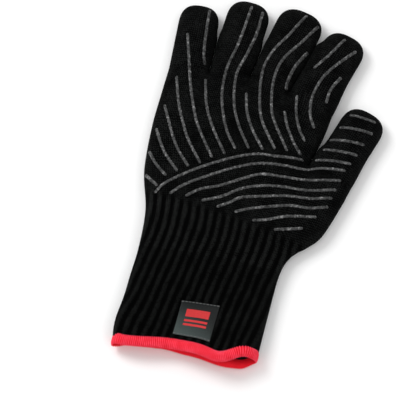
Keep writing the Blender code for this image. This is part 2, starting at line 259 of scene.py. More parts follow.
def heights(plan):
    """Upper and lower sheet over any place of the glove."""
    lines = (LEFT, RIGHT, INDEX_SIDE, *OUTLINES.values())
    away = np.min([distance_to(plan, line) for line in lines], axis=0)
    x, y = plan[..., 0], plan[..., 1]
    flare = smooth((MOUTH_FLARE - y) / MOUTH_FLARE)
    palm = PALM_RISE * smooth(away / PALM_ROUND) * smooth(y / PALM_FADE)
    wave = sum(share * np.sin(x / wide + y / long + phase) for share, wide, long, phase in WAVES)
    upper = FOLD_Z + (DIGIT_RISE + MOUTH_OPEN * flare) * rise(away, TOP_ROUND) + palm
    upper = upper + WAVE * wave * smooth(away / WAVE_EDGE)
    lower = FOLD_Z + (MOUTH_LIFT * flare - FOLD_Z) * rise(away, UNDER_ROUND)
    return upper, lower


PALM_MIDDLE = np.array([10.0, 150.0])
print("heights at the middle of the palm", [round(float(h), 1) for h in heights(PALM_MIDDLE)])

# %% [markdown]
# ## The slack mouth
# The mouth of an empty cuff doesn't stay straight. The upper layer sags over most of its width, dips
# right of the middle and stays open in a loop at the thumb side, where the lower layer reaches further
# out. The change fades into the cuff, as a fold in fabric does. The humps give how far the upper edge
# moves along the cuff, where the middle of each lies and how wide it is.

# %% Mouth
MOUTH_FADE, MOUTH_HALF, MOUTH_EASE = 44.0, 52.0, 12.0
UPPER_HUMPS, UPPER_REACH = ((2.4, -14.0, 14.0), (-5.6, 25.0, 13.0), (2.2, 42.0, 8.0)), -1.0
LOWER_IN, LOWER_IN_FROM, LOWER_IN_SPAN = 3.0, 6.0, 24.0
LOWER_OUT, LOWER_OUT_FROM, LOWER_OUT_SPAN = 5.2, 2.0, 30.0
SAG, SAG_FROM, SAG_SPAN, RIPPLE, RIPPLE_LENGTH = 6.0, 30.0, 40.0, 0.8, 7.0
BULGE, BULGE_Y, BULGE_LENGTH, BULGE_FROM, BULGE_SPAN = 2.6, 14.0, 16.0, 20.0, 32.0


def hump(value, middle, width):
    return np.exp(-((value - middle) / width) ** 2)


def slack(plan, z, upper):
    """Move one sheet of the cuff to where the slack fabric lies."""
    x, y = plan[..., 0], plan[..., 1]
    fade = smooth((MOUTH_FADE - y) / MOUTH_FADE)
    if upper:
        shift = sum(height * hump(x, middle, width) for height, middle, width in UPPER_HUMPS) + UPPER_REACH
        sink = RIPPLE * np.sin(x / RIPPLE_LENGTH) - SAG * smooth((SAG_FROM - x) / SAG_SPAN)
    else:
        shift = LOWER_IN * smooth((LOWER_IN_FROM - x) / LOWER_IN_SPAN)
        shift = shift - LOWER_OUT * smooth((x - LOWER_OUT_FROM) / LOWER_OUT_SPAN)
        sink = np.zeros_like(x)
    open_share = smooth((MOUTH_HALF - np.abs(x)) / MOUTH_EASE)
    bulge = -BULGE * hump(y, BULGE_Y, BULGE_LENGTH) * smooth((-x - BULGE_FROM) / BULGE_SPAN)
    place = np.stack([x + bulge, y + shift * fade * open_share], axis=-1)
    return np.concatenate([place, (z + sink * fade * open_share)[..., None]], axis=-1)


# %% [markdown]
# ## Ribs
# The cuff and the heel of the hand are knitted in rib, which stands up in soft ridges. They slant over
# the cuff and swing through upright on the heel, with a small wander, and stop on a slanted line across
# the palm. Because the ribs change the outline of the surface, they are real geometry.

# %% Ribs
RIB_PITCH, RIB_HEIGHT, RIB_FADE = 6.4, 1.1, 6.0
RIB_SLANT, RIB_TURN, RIB_UPRIGHT = 0.2, 78.0, 40.0
RIB_END = ((-48.5, 117.0), (70.0, 98.0))
# Each wander has its size and its lengths along and across the ribs.
RIB_WANDER = ((0.16, 8.5, 7.0), (0.1, 3.6, 4.1))


def rib(plan):
    """Height of the rib at each place."""
    x, y = plan[..., 0], plan[..., 1]
    (x0, y0), (x1, y1) = RIB_END
    strength = smooth((y0 + (x - x0) * (y1 - y0) / (x1 - x0) - y) / RIB_FADE)
    past = np.clip(y - RIB_TURN, 0.0, RIB_UPRIGHT)
    drift = RIB_SLANT * (y - past ** 2 / RIB_UPRIGHT)
    wander = sum(share * np.sin(y / long + x / wide) for share, long, wide in RIB_WANDER)
    return 0.5 * RIB_HEIGHT * strength * np.cos(2 * math.pi * (x - drift + wander) / RIB_PITCH)


# %% [markdown]
# ## From a grid to a tube of fabric
# The two sheets over one grid share their fold vertices. Each vertex keeps its wale and course in a UV
# map, so that the knit can follow the fabric round the digits, and its height on the rib in an attribute,
# so that the grooves between the ribs can get painted shade, darker than their crests.

# %% Tubes
WELD, SLIVER = 0.00001, 0.000005  # in metres


def mend(mesh, weld=True, slivers=False, normals=False):
    """Weld points that coincide, drop slivers, or turn all faces outward."""
    work = bmesh.new()
    work.from_mesh(mesh)
    if weld:
        bmesh.ops.remove_doubles(work, verts=work.verts, dist=WELD)
    if slivers:
        bmesh.ops.dissolve_degenerate(work, edges=work.edges, dist=SLIVER)
    if normals:
        bmesh.ops.recalc_face_normals(work, faces=work.faces)
    work.to_mesh(mesh)
    work.free()


def to_row(points):
    """From millimetres in the plan's own frame to metres in the row frame."""
    return (points - (*CENTRE, 0.0)) * MM


def grid_quads(rows, columns):
    index = np.arange((rows - 1) * columns).reshape(rows - 1, columns)[:, :-1].ravel()
    return np.stack([index, index + 1, index + columns + 1, index + columns], axis=1)


def tube(name, plan, upper, lower, across, along, material, ridge=0.0):
    """Two sheets over a plan grid, joined where they meet, with a UV map of wale and course in metres."""
    rows, columns = plan.shape[:2]
    top = slack(plan, upper, True).reshape(-1, 3)
    under = slack(plan, lower, False).reshape(-1, 3)
    points = to_row(np.vstack([top, under]))
    wale = np.stack([across, along], axis=2).reshape(-1, 2)
    quads = grid_quads(rows, columns)
    quads = np.vstack([quads, quads[:, ::-1] + rows * columns])
    mesh = bpy.data.meshes.new(name)
    mesh.from_pydata(points.tolist(), [], quads.tolist())
    uv = mesh.uv_layers.new(name="wales")
    corner = quads.ravel() % (rows * columns)
    uv.data.foreach_set("uv", (wale[corner] * MM).ravel().astype(np.float32))
    height = np.broadcast_to(0.5 + np.asarray(ridge) / RIB_HEIGHT, (rows, columns)).ravel()
    layer = mesh.attributes.new("ridge", "FLOAT", "POINT")
    layer.data.foreach_set("value", np.tile(height, 2).astype(np.float32))
    mend(mesh, slivers=True)
    return piece(name, mesh, material)


def piece(name, mesh, material):
    mesh.materials.clear()
    mesh.materials.append(material)
    mesh.shade_smooth()
    made = bpy.data.objects.new(name, mesh)
    bpy.context.scene.collection.objects.link(made)
    return made


# %% [markdown]
# ## Finishes
# One node group draws the loops of a plain knit from the UV map: each wale is a column of V-shaped
# stitches. The outer knit, the rib and the liner use it at their own gauges. Another group mottles a
# surface, as lint does on the knit and flecks do in the silicone.

# %% Shader groups
STITCH_SLANT, STITCH_WAIST, LEG_POWER, CREST_POWER = 1.3, 0.35, 0.6, 2.0


def new_group(name, values, outputs):
    """A shader group that takes a place and some values, and gives some masks."""
    group = bpy.data.node_groups.new(name, "ShaderNodeTree")
    group.interface.new_socket("Place", in_out="INPUT", socket_type="NodeSocketVector")
    for label, value in values.items():
        socket = group.interface.new_socket(label, in_out="INPUT", socket_type="NodeSocketFloat")
        socket.default_value = value
    for label in outputs:
        group.interface.new_socket(label, in_out="OUTPUT", socket_type="NodeSocketFloat")
    return group, group.nodes.new("NodeGroupInput"), group.nodes.new("NodeGroupOutput")


def math_node(tree, operation, *values):
    node = tree.nodes.new("ShaderNodeMath")
    node.operation = operation
    for socket, value in zip(node.inputs, values):
        if isinstance(value, (int, float)):
            socket.default_value = value
        else:
            tree.links.new(value, socket)
    return node.outputs[0]


def knit_group():
    """Height of knitted loops over a UV map in metres, and a mask of the yarn's crests."""
    group, start, end = new_group("knit_loops", {"Wale": 0.0014, "Course": 0.0011}, ("Height", "Crest"))
    place = group.nodes.new("ShaderNodeSeparateXYZ")
    group.links.new(start.outputs["Place"], place.inputs[0])
    wale = math_node(group, "DIVIDE", place.outputs["X"], start.outputs["Wale"])
    course = math_node(group, "DIVIDE", place.outputs["Y"], start.outputs["Course"])
    side = math_node(group, "ABSOLUTE", math_node(group, "SUBTRACT", math_node(group, "FRACT", wale), 0.5))
    leg = math_node(group, "SINE", math_node(group, "MULTIPLY", side, 2 * math.pi))
    slant = math_node(group, "MULTIPLY_ADD", side, STITCH_SLANT, course)
    bead = math_node(group, "SINE", math_node(group, "MULTIPLY", slant, 2 * math.pi))
    bead = math_node(group, "MULTIPLY_ADD", bead, STITCH_WAIST, 1.0 - STITCH_WAIST)
    height = math_node(group, "MULTIPLY", math_node(group, "POWER", leg, LEG_POWER), bead)
    group.links.new(height, end.inputs["Height"])
    group.links.new(math_node(group, "POWER", height, CREST_POWER), end.inputs["Crest"])
    return group


def mottle_group():
    """Slow and fine variation, as two masks from 0 to 1."""
    group, start, end = new_group("mottle", {"Coarse": 120.0, "Fine": 2500.0}, ("Patch", "Speck"))
    for label, output, detail in (("Coarse", "Patch", 3.0), ("Fine", "Speck", 2.0)):
        noise = group.nodes.new("ShaderNodeTexNoise")
        noise.inputs["Detail"].default_value = detail
        group.links.new(start.outputs["Place"], noise.inputs["Vector"])
        group.links.new(start.outputs[label], noise.inputs["Scale"])
        group.links.new(noise.outputs["Fac"], end.inputs[output])
    return group


KNIT_LOOPS, MOTTLE = knit_group(), mottle_group()
print("groups", [group.name for group in (KNIT_LOOPS, MOTTLE)])

# %% Materials
def base_material(name, specular, sheen=0.0):
    material = bpy.data.materials.new(name)
    material.use_nodes = True
    tree = material.node_tree
    shader = tree.nodes["Principled BSDF"]
    shader.inputs["Sheen Weight"].default_value = sheen
    shader.inputs["Sheen Roughness"].default_value = 0.5
    shader.inputs["Specular IOR Level"].default_value = specular
    return material, tree, shader


def use_group(tree, group, **values):
    node = tree.nodes.new("ShaderNodeGroup")
    node.node_tree = group
    for label, value in values.items():
        if isinstance(value, (int, float)):
            node.inputs[label].default_value = value
        else:
            tree.links.new(value, node.inputs[label])
    return node.outputs


def ramp(tree, factor, stops):
    node = tree.nodes.new("ShaderNodeValToRGB")
    elements = node.color_ramp.elements
    for element, (position, colour) in zip(elements, stops):
        element.position, element.color = position, (*colour, 1.0)
    for position, colour in stops[2:]:
        elements.new(position).color = (*colour, 1.0)
    tree.links.new(factor, node.inputs["Fac"])
    return node.outputs["Color"]


def bump(tree, shader, height, distance):
    node = tree.nodes.new("ShaderNodeBump")
    node.inputs["Distance"].default_value = distance
    node.inputs["Strength"].default_value = 1.0
    tree.links.new(height, node.inputs["Height"])
    tree.links.new(node.outputs["Normal"], shader.inputs["Normal"])


def roughen(tree, shader, mask, spread, least):
    """Roughness that rises from its least value by a mask."""
    tree.links.new(math_node(tree, "MULTIPLY_ADD", mask, spread, least), shader.inputs["Roughness"])


def mottled_material(name, stops, coarse, fine, specular, rough, depth):
    """A plain finish, mottled in its tone, its roughness and its grain."""
    material, tree, shader = base_material(name, specular)
    place = tree.nodes.new("ShaderNodeTexCoord")
    mottle = use_group(tree, MOTTLE, Place=place.outputs["Object"], Coarse=coarse, Fine=fine)
    slow = math_node(tree, "MULTIPLY", mottle["Patch"], 0.5)
    tone = math_node(tree, "MULTIPLY_ADD", mottle["Speck"], 0.5, slow)
    tree.links.new(ramp(tree, tone, stops), shader.inputs["Base Color"])
    roughen(tree, shader, mottle["Speck"], *rough)
    bump(tree, shader, mottle["Speck"], depth)
    return material


# Shares of lint and painted crest highlight in a knit's tone, and how much painted shade dims the rib
# grooves.
LINT_SHARE, CREST_HIGHLIGHT_SHARE, PATCH_LEAST = 0.9, 0.6, 0.4
GROOVE_SHADE_SPREAD, GROOVE_SHADE_LEAST, FUZZ_SHARE = 1.3, 0.35, 0.35
KNIT_DARK_AT, KNIT_LIGHT_AT = 0.46, 0.86


def knit_material(name, dark, light, wale, course, depth):
    """Knitted yarn: loops by UV, painted highlight on crests, painted shade in rib grooves, and lint."""
    material, tree, shader = base_material(name, specular=0.02, sheen=0.003)
    place = tree.nodes.new("ShaderNodeTexCoord")
    ridge = tree.nodes.new("ShaderNodeAttribute")
    ridge.attribute_name = "ridge"
    loops = use_group(tree, KNIT_LOOPS, Place=place.outputs["UV"], Wale=wale, Course=course)
    lint = use_group(tree, MOTTLE, Place=place.outputs["Object"], Coarse=90.0, Fine=640.0)
    # Painted highlight: the crests of the stitches are lighter, as where light falls on the yarn.
    crest_highlight = math_node(tree, "MULTIPLY", loops["Crest"], CREST_HIGHLIGHT_SHARE)
    tone = math_node(tree, "MULTIPLY_ADD", lint["Speck"], LINT_SHARE, crest_highlight)
    tone = math_node(tree, "MULTIPLY", tone, math_node(tree, "ADD", lint["Patch"], PATCH_LEAST))
    # Painted shade: the grooves between the ribs are darker than their crests.
    groove_shade = math_node(tree, "MULTIPLY_ADD", ridge.outputs["Fac"], GROOVE_SHADE_SPREAD, GROOVE_SHADE_LEAST)
    tone = math_node(tree, "MULTIPLY", tone, groove_shade)
    colour = ramp(tree, tone, [(KNIT_DARK_AT, dark), (KNIT_LIGHT_AT, light)])
    tree.links.new(colour, shader.inputs["Base Color"])
    roughen(tree, shader, lint["Speck"], spread=0.2, least=0.7)
    bump(tree, shader, math_node(tree, "MULTIPLY_ADD", lint["Speck"], FUZZ_SHARE, loops["Height"]), depth)
    return material


SOOT = (0.0003, 0.0004, 0.0004)
# Dark and light tone of each knit, then its wale, its course and the depth of its loops in metres.
KNITS = {
    "black_knit": (SOOT, (0.0125, 0.0134, 0.013), 0.0022, 0.0017, 0.0008),
    "black_rib": (SOOT, (0.008, 0.0087, 0.0084), 0.0021, 0.0017, 0.0008),
    "liner_jersey": ((0.004, 0.004, 0.0042), (0.03, 0.03, 0.031), 0.0011, 0.0009, 0.0003),
}
BLACK_KNIT, BLACK_RIB, LINER_JERSEY = (knit_material(name, *values) for name, values in KNITS.items())
print("knits", [m.name for m in (BLACK_KNIT, BLACK_RIB, LINER_JERSEY)])

# %% [markdown]
# ## The outer knit
# The hand rides on its body. Each digit and the cuff start exactly on the hand's edge.

# %% Hand, digits and cuff
TUBE_WIDTH, LINER_WIDTH, DIGIT_SPARE = 117.0, 108.0, 6.0


def bend_digit(made):
    """Bake the transform of a digit's piece into its mesh; the piece is not bent."""
    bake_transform(made)


def bend_cuff(made):
    """Bake the transform of a cuff piece into its mesh; the piece is not bent."""
    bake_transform(made)


def meet(upper, lower, closed):
    """Bring the sheets together on the folds."""
    return np.where(closed, FOLD_Z, upper), np.where(closed, FOLD_Z, lower)


def wales(plan, width):
    """Wale and course of each grid point, in millimetres of relaxed fabric."""
    across = np.broadcast_to(width * np.linspace(0.0, 1.0, plan.shape[1]), plan.shape[:2])
    along = np.broadcast_to(walk(plan[:, plan.shape[1] // 2])[:, None], plan.shape[:2])
    return across, along


HAND = hand_grid()
upper, lower = heights(HAND)
closed = np.zeros(upper.shape, bool)
closed[:, 0] = closed[: HEEL_ROWS + 1, -1] = closed[HEEL_ROWS + THUMB_COLUMNS:, -1] = True
closed[-1, ::DIGIT_COLUMNS] = True
ridge = rib(HAND)
upper, lower = meet(upper + ridge, lower - np.minimum(ridge, 0.0), closed)
hand_knit = tube("hand_outer_knit", HAND, upper, lower, *wales(HAND, TUBE_WIDTH), BLACK_KNIT, ridge)
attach(hand_knit, "hand")
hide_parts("hand_knit")

for name, plan in GRIDS.items():
    upper, lower = heights(plan)
    closed = np.zeros(upper.shape, bool)
    closed[:, 0] = closed[:, -1] = closed[-1] = True
    upper, lower = meet(upper, lower, closed)
    stall = tube(name + "_outer_knit", plan, upper, lower, *wales(plan, DIGITS[name][3]), BLACK_KNIT)
    bend_digit(stall)
    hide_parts(name + "_knit")

CUFF = cuff_grid()
upper, lower = heights(CUFF)
closed = np.zeros(upper.shape, bool)
closed[:, 0] = closed[:, -1] = True
ridge = rib(CUFF)
upper, lower = meet(upper + ridge, lower - np.minimum(ridge, 0.0), closed)
cuff_knit = tube("cuff_outer_rib", CUFF, upper, lower, *wales(CUFF, TUBE_WIDTH), BLACK_RIB, ridge)
bend_cuff(cuff_knit)
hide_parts("cuff_knit")
print("outer knit of the hand", len(hand_knit.data.polygons), "faces, cuff", len(cuff_knit.data.polygons))

# %% [markdown]
# ## The lining
# A cotton liner lies inside the knit and shows in the mouth. It is the same bag, a little smaller, so the
# same grids make it with an inset or without their outer columns. In the cuff it starts behind the roll
# of the hem.

# %% Lining
INSET, HIDDEN_ROWS, HAND_TRIM, CUFF_TRIM = 2.6, 4, 8, 6


def lining(name, plan, width):
    upper, lower = heights(plan)
    upper, lower = np.maximum(upper - INSET, FOLD_Z), np.minimum(lower + INSET, FOLD_Z)
    closed = np.zeros(upper.shape, bool)
    closed[:, [0, -1]] = True
    return tube(name, plan, *meet(upper, lower, closed), *wales(plan, width), LINER_JERSEY)


hand_lining = lining("hand_lining", HAND[::2, HAND_TRIM:-HAND_TRIM:2], LINER_WIDTH)
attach(hand_lining, "hand")
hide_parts("hand_liner")
for name in DIGITS:
    plan, width = digit_grid(name, INSET)[::2, ::2], DIGITS[name][3] - DIGIT_SPARE
    inner = lining(name + "_lining", plan, width)
    bend_digit(inner)
    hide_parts(name + "_liner")
cuff_lining = lining("cuff_lining", CUFF[HIDDEN_ROWS::2, CUFF_TRIM:-CUFF_TRIM:2], LINER_WIDTH)
bend_cuff(cuff_lining)
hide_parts("cuff_liner")
print("lining of the cuff", len(cuff_lining.data.polygons), "faces")

# %% [markdown]
# ## Silicone grip lines
# Silicone is printed on the knit in raised lines that sweep over the palm and the digits. Each line is a
# bead on a smooth curve through a few points. Its section is a low arch, its ends are round, and its
# edges waver a little, because wet silicone creeps along the yarn before it sets.

# %% Grip lines
GRIP_LINES = [
    [(-55.4, 127.1), (-50.0, 122.6), (-44.2, 118.5)],
    [(-56.4, 145.2), (-49.1, 135.4), (-39.7, 127.2)],
    [(-54.8, 163.2), (-45.4, 146.2), (-32.4, 131.8)],
    [(-52.5, 182.4), (-42.4, 160.6), (-35.1, 148.3), (-25.1, 136.5)],
    [(-48.2, 205.7), (-42.6, 185.7), (-37.0, 171.9), (-30.1, 158.1), (-16.9, 140.0)],
    [(-47.0, 240.0), (-41.7, 219.3), (-35.1, 195.1), (-26.7, 172.6), (-18.4, 159.1), (-9.5, 146.0)],
    [(-27.0, 207.5), (-21.8, 186.0), (-14.3, 170.2), (-1.0, 150.4)],
    [(-34.8, 263.2), (-33.9, 245.8), (-32.3, 228.2), (-29.7, 218.7)],
    [(-4.7, 271.3), (-6.6, 252.9), (-9.2, 236.5), (-13.3, 217.7),
     (-12.1, 194.3), (-4.5, 171.4), (5.7, 156.1)],
    [(4.0, 269.0), (2.6, 249.5), (-1.2, 231.8), (-5.3, 215.2),
     (-2.9, 193.5), (3.7, 176.1), (15.1, 158.6)],
    [(4.6, 202.0), (8.0, 187.2), (14.7, 173.8), (25.3, 159.6)],
    [(36.5, 272.6), (26.9, 254.4), (17.1, 238.7), (12.9, 223.0),
     (14.7, 201.3), (20.3, 182.0), (33.8, 161.9)],
    [(46.3, 266.0), (36.7, 250.1), (26.8, 235.4), (22.7, 221.9),
     (23.0, 204.6), (27.8, 185.9), (42.6, 162.6)],
    [(42.4, 244.6), (35.6, 231.0), (32.4, 219.0), (32.2, 211.4)],
    [(34.6, 193.7), (38.9, 181.9), (45.9, 170.6), (53.0, 162.6)],
    [(41.0, 208.6), (43.2, 194.4), (47.5, 182.6), (53.8, 173.3)],
    [(67.7, 259.2), (58.8, 243.6), (49.0, 231.0)],
    [(77.2, 251.4), (64.4, 235.7), (56.2, 222.8), (52.3, 208.2), (53.4, 195.4), (58.4, 184.8)],
    [(70.2, 228.9), (64.5, 217.0), (63.0, 205.8)],
    [(81.2, 201.0), (101.6, 198.7)],
    [(76.1, 190.1), (101.2, 189.4)],
    [(70.9, 179.3), (97.0, 179.8)],
    [(67.3, 170.8), (93.5, 170.8)],
    [(63.3, 161.9), (90.0, 163.3)],
    [(-45.6, 112.8), (-37.2, 123.6), (-11.1, 140.6), (17.9, 154.7), (34.9, 157.0), (55.6, 159.7)],
    [(-34.6, 113.8), (-23.1, 123.9), (8.7, 142.1), (28.1, 149.7),
     (56.6, 152.5), (66.6, 155.2), (87.0, 157.3)],
    [(-22.8, 113.7), (-13.0, 120.9), (2.2, 127.0), (25.5, 140.3),
     (41.6, 142.5), (61.7, 144.4), (85.5, 149.3)],
    [(-10.7, 112.4), (3.9, 118.7), (16.4, 127.2), (29.5, 132.5),
     (45.5, 135.0), (64.1, 136.3), (83.4, 141.6)],
    [(1.0, 109.8), (9.5, 114.6), (19.1, 121.1), (46.9, 128.0), (65.4, 130.2), (81.8, 134.7)],
    [(14.3, 108.3), (27.8, 114.6), (51.8, 121.4), (66.8, 123.0), (80.1, 127.3)],
    [(28.0, 104.9), (39.2, 108.2), (52.3, 113.3), (73.3, 117.5)],
    [(44.6, 101.6), (65.3, 107.1)],
]
GRIP_WIDTH, GRIP_HEIGHT, GRIP_STEP, SPARE_STEPS = 2.15, 0.85, 0.8, 4
LENGTH_POINTS, ROUTE_POINTS = 60, 90
# Round the section of a bead: shares of its half width and its height, and how deep it sinks into the knit.
GRIP_ACROSS = np.array([-1.0, -0.92, -0.6, 0.0, 0.6, 0.92, 1.0, 0.6, -0.6])
GRIP_LIFT = np.array([0.0, 0.45, 0.85, 1.0, 0.85, 0.45, 0.0, 0.0, 0.0])
GRIP_SUNK = np.array([0.15, 0.0, 0.0, 0.0, 0.0, 0.0, 0.15, 0.35, 0.35])
# Each waver has its share, its pace along the line, and how many times the line's number shifts it.
GRIP_WAVER = ((0.09, 2.1, 1), (0.06, 4.7, 2))

# Matt grey with pale flecks. A ramp takes its two ends first and then the stops between them.
SILICONE_TONES = [
    (0.36, (0.01, 0.01, 0.01)), (0.66, (0.24, 0.24, 0.24)),
    (0.46, (0.043, 0.044, 0.044)), (0.55, (0.07, 0.071, 0.071)),
]
GREY_SILICONE = mottled_material(
    "grey_silicone", SILICONE_TONES, coarse=330.0, fine=760.0, specular=0.15, rough=(0.3, 0.4), depth=0.0003
)


def bead(name, line, seed):
    """One raised line of silicone on the knit."""
    count = int(walk(spline(line, LENGTH_POINTS))[-1] / GRIP_STEP) + SPARE_STEPS
    middle = spline(line, count)
    way = unit(np.gradient(middle, axis=0))
    side = np.stack([-way[:, 1], way[:, 0]], axis=1)
    walked = walk(middle)
    full = rise(np.minimum(walked, walked[-1] - walked), GRIP_WIDTH / 2)
    waver = sum(share * np.sin(walked * pace + times * seed) for share, pace, times in GRIP_WAVER)
    half = GRIP_WIDTH / 2 * full * (1.0 + waver)
    ring = middle[:, None] + side[:, None] * (half[:, None] * GRIP_ACROSS)[..., None]
    z = heights(ring)[0] + full[:, None] * GRIP_HEIGHT * GRIP_LIFT - GRIP_SUNK
    points = to_row(np.concatenate([ring, z[..., None]], axis=2).reshape(-1, 3))
    turn = len(GRIP_ACROSS)
    faces = []
    for i in range(count - 1):
        for j in range(turn):
            a, b = i * turn + j, i * turn + (j + 1) % turn
            faces.append((a, a + turn, b + turn, b))
    faces += [tuple(range(turn)), tuple(reversed(range((count - 1) * turn, count * turn)))]
    mesh = bpy.data.meshes.new(name)
    mesh.from_pydata(points.tolist(), [], faces)
    mend(mesh, normals=True)
    return piece(name, mesh, GREY_SILICONE)


# Each solid of silicone belongs to the line that runs nearest to its own corners.
SOLIDS = {number: [] for number in range(len(GRIP_LINES))}
routes = [spline(line, ROUTE_POINTS) for line in GRIP_LINES]
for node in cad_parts:
    if "_grip_" in node:
        corners = np.array([corner.co[:2] for corner in bpy.data.objects[node].data.vertices]) / MM + CENTRE
        SOLIDS[int(np.argmin([distance_to(corners, route).mean() for route in routes]))].append(node)
for number, line in enumerate(GRIP_LINES):
    strip = bead(f"grip_line_{number + 1}", line, number)
    digits = [node.split("_")[0] for node in SOLIDS[number] if not node.startswith("hand")]
    if digits:
        bend_digit(strip)
    else:
        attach(strip, "hand")
    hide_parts(*SOLIDS[number])
print("grip lines", len(GRIP_LINES), "for", sum(len(nodes) for nodes in SOLIDS.values()), "solids")

# %% [markdown]
# ## The overlocked hem
# The cut edge of the cuff is bound with red thread. The binding is a soft tube around the edge: here a
# rounded section swept round the mouth, flatter at the two folds. A Geometry Nodes tree lays the single
# threads over it, one copy at each step along the mouth, turned to the edge.

# %% Hem
HEM_MIDDLE, HEM_HALF, HEM_OUT, HEM_IN, HEM_SIDES = 2.65, 3.65, 2.2, -3.0, 16
HEM_STEPS, HEM_PASSES, HEM_AT_FOLD, HEM_EASE = 260, 3, 0.4, 11.0
THREAD_STEP, THREAD_THICK = 0.0014, 0.00046  # in metres


def thread_material(name, dark, light):
    """Dyed thread with a fine grain."""
    stops = [(0.3, dark), (0.7, light)]
    return mottled_material(
        name, stops, coarse=260.0, fine=3200.0, specular=0.1, rough=(0.25, 0.55), depth=0.0002
    )


# Painted shade: the binding is a darker red than the threads, for the shade in the gaps between them.
SHADED_RED_BINDING = thread_material("shaded_red_binding", (0.64, 0.003, 0.01), (0.92, 0.014, 0.03))
RED_THREAD = thread_material("red_thread", (0.86, 0.01, 0.03), (1.0, 0.1, 0.17))

mouth = CUFF[0]
upper, lower = heights(mouth)
folds = np.zeros(upper.shape, bool)
folds[[0, -1]] = True
upper, lower = meet(upper, lower, folds)
loop = np.vstack([slack(mouth, upper, True), slack(mouth, lower, False)[-2:0:-1]])
closed_loop = np.vstack([loop, loop[:1]])
walked = walk(closed_loop)
steps = np.linspace(0.0, walked[-1], HEM_STEPS, endpoint=False)
loop = np.stack([np.interp(steps, walked, closed_loop[:, i]) for i in range(3)], axis=1)
for _ in range(HEM_PASSES):
    loop = 0.5 * loop + 0.25 * (np.roll(loop, 1, axis=0) + np.roll(loop, -1, axis=0))
along = unit(np.roll(loop, -1, axis=0) - np.roll(loop, 1, axis=0))
outward = unit(np.stack([-along[:, 2], np.zeros(HEM_STEPS), along[:, 0]], axis=1))
toward = np.cross(outward, along)
toward = toward * np.sign(toward[:, 1:2])
room = HEM_AT_FOLD + (1.0 - HEM_AT_FOLD) * smooth((MOUTH_HALF - np.abs(loop[:, 0])) / HEM_EASE)

rings = []
for angle in np.linspace(0.0, 2 * math.pi, HEM_SIDES, endpoint=False):
    out = (HEM_OUT + HEM_IN) / 2 + (HEM_OUT - HEM_IN) / 2 * math.cos(angle)
    rings.append(loop + outward * out * room[:, None] + toward * (HEM_MIDDLE + HEM_HALF * math.sin(angle)))
points = to_row(np.array(rings).reshape(-1, 3))
faces = []
for i in range(HEM_SIDES):
    a, b = i * HEM_STEPS, (i + 1) % HEM_SIDES * HEM_STEPS
    for j in range(HEM_STEPS):
        after = (j + 1) % HEM_STEPS
        faces.append((a + j, b + j, b + after, a + after))
mesh = bpy.data.meshes.new("hem_binding")
mesh.from_pydata(points.tolist(), [], faces)
mend(mesh, weld=False, normals=True)
hem_binding = piece("hem_binding", mesh, SHADED_RED_BINDING)
smoother = hem_binding.modifiers.new("Rounded", "SUBSURF")
smoother.levels = smoother.render_levels = 1
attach(hem_binding, "cuff")
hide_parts("hem")
print("hem", round(walked[-1]), "mm round the mouth")

# %% Threads over the hem
def tree_node(tree, kind, **inputs):
    node = tree.nodes.new(kind)
    for label, value in inputs.items():
        socket = node.inputs[label.replace("_", " ")]
        if isinstance(value, bpy.types.NodeSocket):
            tree.links.new(value, socket)
        else:
            socket.default_value = value
    return node


THREAD_BENDS, THREAD_SIDES = 8, 5


def stitch_tree(name, material, path):
    """One bent thread at each step along an edge, turned by the two directions stored on the edge."""
    tree = bpy.data.node_groups.new(name, "GeometryNodeTree")
    tree.interface.new_socket("Edge", in_out="INPUT", socket_type="NodeSocketGeometry")
    for label, value in (("Step", 0.001), ("Thickness", 0.0002)):
        tree.interface.new_socket(label, in_out="INPUT", socket_type="NodeSocketFloat").default_value = value
    tree.interface.new_socket("Threads", in_out="OUTPUT", socket_type="NodeSocketGeometry")
    start, end = tree.nodes.new("NodeGroupInput"), tree.nodes.new("NodeGroupOutput")
    edge = tree_node(tree, "GeometryNodeMeshToCurve", Mesh=start.outputs["Edge"])
    even = tree_node(tree, "GeometryNodeResampleCurve", Curve=edge.outputs[0])
    even.mode = "LENGTH"
    tree.links.new(start.outputs["Step"], even.inputs["Length"])
    bend = tree_node(tree, "GeometryNodeCurvePrimitiveBezierSegment", Resolution=THREAD_BENDS)
    for label, point in zip(("Start", "Start Handle", "End Handle", "End"), path):
        bend.inputs[label].default_value = [value * MM for value in point]
    section = tree_node(tree, "GeometryNodeCurvePrimitiveCircle", Resolution=THREAD_SIDES)
    tree.links.new(start.outputs["Thickness"], section.inputs["Radius"])
    thread = tree_node(tree, "GeometryNodeCurveToMesh", Curve=bend.outputs[0], Fill_Caps=True)
    tree.links.new(section.outputs[0], thread.inputs["Profile Curve"])
    turn = tree.nodes.new("FunctionNodeAxesToRotation")
    turn.primary_axis, turn.secondary_axis = "X", "Y"
    outward, toward, full = (tree_node(tree, "GeometryNodeInputNamedAttribute") for _ in range(3))
    for read, label in ((outward, "outward"), (toward, "toward"), (full, "fullness")):
        read.data_type = "FLOAT_VECTOR"
        read.inputs["Name"].default_value = label
    tree.links.new(outward.outputs["Attribute"], turn.inputs[0])
    tree.links.new(toward.outputs["Attribute"], turn.inputs[1])
    copies = tree_node(tree, "GeometryNodeInstanceOnPoints", Points=even.outputs[0])
    tree.links.new(thread.outputs[0], copies.inputs["Instance"])
    tree.links.new(turn.outputs[0], copies.inputs["Rotation"])
    tree.links.new(full.outputs["Attribute"], copies.inputs["Scale"])
    real = tree_node(tree, "GeometryNodeRealizeInstances", Geometry=copies.outputs[0])
    finish = tree_node(tree, "GeometryNodeSetMaterial", Geometry=real.outputs[0], Material=material)
    tree.links.new(finish.outputs[0], end.inputs[0])
    return tree


